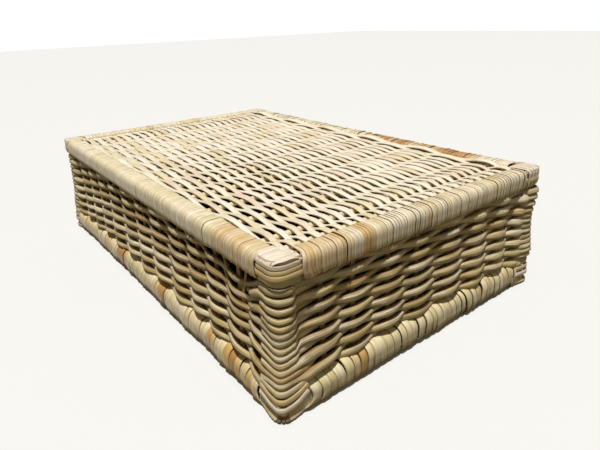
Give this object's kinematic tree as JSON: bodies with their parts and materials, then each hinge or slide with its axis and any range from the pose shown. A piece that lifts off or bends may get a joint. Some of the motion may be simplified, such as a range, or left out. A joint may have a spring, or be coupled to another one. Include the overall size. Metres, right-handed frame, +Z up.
{
  "type": "cane basket",
  "caption": "Shallow rectangular open basket of woven split cane, shown base up, with wound cane bands round the base and the rim and wrapped corners.",
  "frame": {"origin": "bottom centre of the whole basket as it stands base up, on the plane that the rim rests on", "axes": "+X along the long side, +Y along the short side, +Z up, from the open rim to the woven base"},
  "size_m": [0.4614, 0.2974, 0.115],
  "materials": {
    "bar_cane": "round peeled cane rods, dry, smooth",
    "band_winding": "flat split cane wound close, satin, strip by strip from cream to orange brown and green",
    "rim_winding": "wide flat split cane wound with small gaps, satin, pale yellow cream",
    "weavers": "split cane strips, satin outer skin, pale cream to tan, fine lengthwise grain",
    "stake_cane": "split cane stakes and ribs, dry, darker tan",
    "corner_strips": "flat split cane strips bent round the corners, satin, cream to orange tan"
  },
  "bodies": {
    "root": {"base_bar_back": "bar_cane", "base_bar_front": "bar_cane", "base_bar_left": "bar_cane", "base_bar_right": "bar_cane", "base_binding_back": "band_winding", "base_binding_front": "band_winding", "base_binding_left": "band_winding", "base_binding_right": "band_winding", "base_corner_lashing_back_left": "corner_strips", "base_corner_lashing_back_right": "corner_strips", "base_corner_lashing_front_left": "corner_strips", "base_corner_lashing_front_right": "corner_strips", "base_rib_01": "stake_cane", "base_rib_02": "stake_cane", "base_rib_03": "stake_cane", "base_rib_04": "stake_cane", "base_rib_05": "stake_cane", "base_rib_06": "stake_cane", "base_rib_07": "stake_cane", "base_rib_08": "stake_cane", "base_rib_09": "stake_cane", "base_rib_10": "stake_cane", "base_rib_11": "stake_cane", "base_rib_12": "stake_cane", "base_weave": "weavers", "corner_post_back_left": "bar_cane", "corner_post_back_right": "bar_cane", "corner_post_front_left": "bar_cane", "corner_post_front_right": "bar_cane", "rim_bar_back": "bar_cane", "rim_bar_front": "bar_cane", "rim_bar_left": "bar_cane", "rim_bar_right": "bar_cane", "rim_binding_back": "rim_winding", "rim_binding_front": "rim_winding", "rim_binding_left": "rim_winding", "rim_binding_right": "rim_winding", "rim_corner_lashing_back_left": "corner_strips", "rim_corner_lashing_back_right": "corner_strips", "rim_corner_lashing_front_left": "corner_strips", "rim_corner_lashing_front_right": "corner_strips", "side_stakes_back": "stake_cane", "side_stakes_front": "stake_cane", "side_stakes_left": "stake_cane", "side_stakes_right": "stake_cane", "wall_row_01": "weavers", "wall_row_02": "weavers", "wall_row_03": "weavers", "wall_row_04": "weavers", "wall_row_05": "weavers", "wall_row_06": "weavers", "wall_row_07": "weavers", "wall_row_08": "weavers", "wall_row_09": "weavers", "wall_row_10": "weavers", "wall_row_11": "weavers", "wall_row_12": "weavers", "wall_row_13": "weavers", "wall_row_14": "weavers"}
  },
  "joints": []
}
